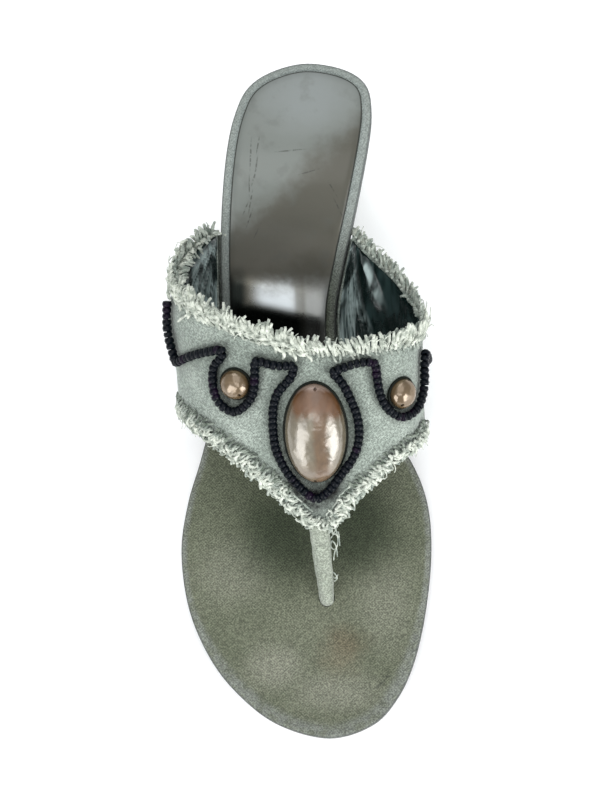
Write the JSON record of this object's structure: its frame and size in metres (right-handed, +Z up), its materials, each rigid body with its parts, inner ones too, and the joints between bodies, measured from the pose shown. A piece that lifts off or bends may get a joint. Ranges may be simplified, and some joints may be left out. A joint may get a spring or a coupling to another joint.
{
  "type": "toe post sandal",
  "caption": "Women's heeled toe post sandal with a frayed canvas band, dark beaded scrolls and domed stones, on a covered mid heel.",
  "frame": {"origin": "middle of the whole shoe's bounding box in plan, on the floor it stands on", "axes": "+Z up, the toe points to -Y and the heel to +Y, +X is the big-toe side of this right shoe"},
  "size_m": [0.0922, 0.229, 0.0706],
  "materials": {
    "canvas": "matt sage green cotton canvas with frayed edges, lined in glossy dark leather",
    "board_canvas": "matt olive grey canvas, worn and stained",
    "sock_leather": "glossy grey brown leather",
    "heel_canvas": "matt sage green canvas stretched over the heel",
    "rubber": "satin black",
    "copper_pearl": "glossy coppery pearl",
    "dark_beads": "glossy black with a purple cast"
  },
  "bodies": {
    "root": {"outsole": "rubber", "insole": "board_canvas", "sock": "sock_leather", "heel": "heel_canvas", "top_lift": "rubber", "upper": "canvas", "cabochon_oval": "copper_pearl", "cabochon_round_lateral": "copper_pearl", "cabochon_round_medial": "copper_pearl", "bead_trim": "dark_beads"}
  },
  "joints": []
}
